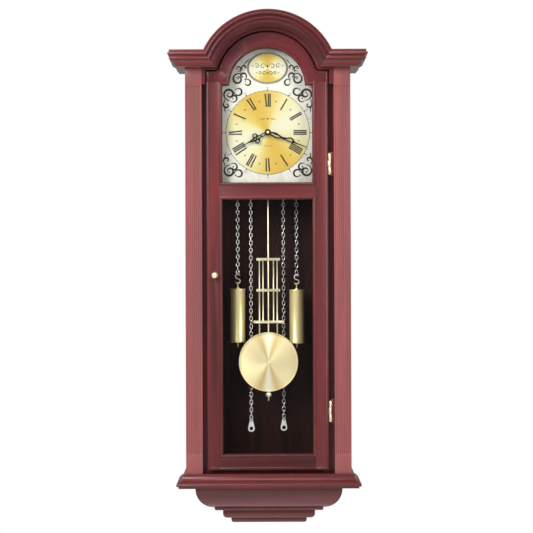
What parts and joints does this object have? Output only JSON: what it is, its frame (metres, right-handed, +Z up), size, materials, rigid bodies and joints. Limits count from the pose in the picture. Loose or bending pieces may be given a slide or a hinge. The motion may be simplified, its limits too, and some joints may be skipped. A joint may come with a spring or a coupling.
{
  "type": "wall-hung pendulum clock",
  "caption": "Wall-hung wooden pendulum clock with an arched glazed door, a round dial, a lyre pendulum and hanging weights.",
  "frame": {"origin": "centre of the hanger plate's round hole, on the plane of the wall", "axes": "+X to the right seen from the front, +Y into the wall, +Z up"},
  "size_m": [0.3716, 0.1473, 0.9665],
  "materials": {
    "mahogany": "semi-gloss lacquer",
    "interior_wood": "dark stained, satin",
    "polished_brass": "polished",
    "brushed_brass": "radially brushed, satin",
    "steel": "bright",
    "glass": "clear",
    "dial": "satin, printed",
    "black_metal": "satin black",
    "black_plastic": "matte",
    "red_plastic": "gloss",
    "battery": "gloss",
    "white_plastic": "matte",
    "bumper_rubber": "matte"
  },
  "bodies": {
    "case": {"left_side_panel": "mahogany", "right_side_panel": "mahogany", "back_panel": "interior_wood", "bottom_board": "mahogany", "roof_board": "mahogany", "pediment_board": "mahogany", "left_face_stile": "mahogany", "right_face_stile": "mahogany", "left_pilaster": "mahogany", "right_pilaster": "mahogany", "crown_arch_moulding": "mahogany", "left_crown_moulding": "mahogany", "right_crown_moulding": "mahogany", "base_moulding": "mahogany", "apron": "mahogany", "upper_drop_moulding": "mahogany", "middle_drop_moulding": "mahogany", "lower_drop_moulding": "mahogany", "hanger_plate": "steel", "case_screws": "steel", "wall_bumpers": "bumper_rubber", "magnet_catch": "black_plastic", "case_hinge_leaves": "polished_brass", "hinge_pins": "polished_brass", "dial_plate": "dial", "movement_housing": "black_plastic", "shaft_nut": "polished_brass", "batteries": "battery", "speaker": "black_plastic", "chain_rail": "interior_wood"},
    "door": {"door_left_stile": "mahogany", "door_right_stile": "mahogany", "door_arch_rail": "mahogany", "door_mid_rail": "mahogany", "door_bottom_rail": "mahogany", "dial_glass": "glass", "door_glass": "glass", "glass_retainers": "mahogany", "door_knob": "polished_brass", "door_screws": "steel", "strike_plate": "steel", "door_hinge_leaves": "polished_brass"},
    "hour_hand": {"hour_hand": "black_metal"},
    "minute_hand": {"minute_hand": "black_metal", "hand_nut": "polished_brass"},
    "time_set_knob": {"time_set_knob": "red_plastic"},
    "battery_cover": {"battery_cover": "black_plastic"},
    "chime_switch": {"chime_switch": "white_plastic"},
    "pendulum": {"pendulum_rod": "polished_brass", "pendulum_lyre": "polished_brass", "pendulum_bob": "brushed_brass"},
    "rating_nut": {"rating_nut": "polished_brass"},
    "left_weight": {"left_weight_chain": "steel", "left_weight": "brushed_brass"},
    "right_weight": {"right_weight_chain": "steel", "right_weight": "brushed_brass"},
    "left_pull_chain": {"left_pull_chain": "steel"},
    "right_pull_chain": {"right_pull_chain": "steel"},
    "left_pull_tag": {"left_pull_tag": "steel"},
    "right_pull_tag": {"right_pull_tag": "steel"}
  },
  "joints": [
    {"name": "door_hinge", "type": "hinge", "parent": "case", "child": "door", "pos_m": [0.1152, -0.1154, -0.4], "axis": [0, 0, 1], "range_deg": [0, 100]},
    {"name": "minute_hand_turn", "type": "hinge", "parent": "case", "child": "minute_hand", "pos_m": [0, -0.09, -0.1586], "axis": [0, 1, 0], "continuous": true},
    {"name": "hour_hand_turn", "type": "hinge", "parent": "case", "child": "hour_hand", "pos_m": [0, -0.09, -0.1586], "axis": [0, 1, 0], "continuous": true},
    {"name": "time_set_turn", "type": "hinge", "parent": "case", "child": "time_set_knob", "pos_m": [0, -0.09, -0.1586], "axis": [0, 1, 0], "continuous": true},
    {"name": "battery_cover_slide", "type": "slide", "parent": "case", "child": "battery_cover", "axis": [0, 1, 0], "range_m": [0, 0.02]},
    {"name": "chime_switch_slide", "type": "slide", "parent": "case", "child": "chime_switch", "axis": [1, 0, 0], "range_m": [-0.0035, 0.0095]},
    {"name": "pendulum_swing", "type": "hinge", "parent": "case", "child": "pendulum", "pos_m": [0, -0.072, -0.216], "axis": [0, 1, 0], "range_deg": [-3.5, 3.5]},
    {"name": "rating_nut_turn", "type": "hinge", "parent": "pendulum", "child": "rating_nut", "pos_m": [0, -0.072, -0.6532], "axis": [0, 0, 1], "continuous": true},
    {"name": "left_weight_swing", "type": "hinge", "parent": "case", "child": "left_weight", "pos_m": [-0.058, -0.048, -0.279], "axis": [0, 1, 0], "range_deg": [-0.8, 0.8]},
    {"name": "right_weight_swing", "type": "hinge", "parent": "case", "child": "right_weight", "pos_m": [0.054, -0.048, -0.279], "axis": [0, 1, 0], "range_deg": [-0.8, 0.8]},
    {"name": "left_pull_chain_swing", "type": "hinge", "parent": "case", "child": "left_pull_chain", "pos_m": [-0.033, -0.048, -0.279], "axis": [0, 1, 0], "range_deg": [-0.8, 0.8]},
    {"name": "right_pull_chain_swing", "type": "hinge", "parent": "case", "child": "right_pull_chain", "pos_m": [0.029, -0.048, -0.279], "axis": [0, 1, 0], "range_deg": [-0.8, 0.8]},
    {"name": "left_pull_tag_swing", "type": "hinge", "parent": "left_pull_chain", "child": "left_pull_tag", "pos_m": [-0.033, -0.048, -0.7044], "axis": [0, 1, 0], "range_deg": [-20, 20]},
    {"name": "right_pull_tag_swing", "type": "hinge", "parent": "right_pull_chain", "child": "right_pull_tag", "pos_m": [0.029, -0.048, -0.7026], "axis": [0, 1, 0], "range_deg": [-20, 20]}
  ],
  "couplings": [
    {"joint": "hour_hand_turn", "follows": "minute_hand_turn", "ratio": 0.083333},
    {"joint": "time_set_turn", "follows": "minute_hand_turn", "ratio": 1}
  ]
}
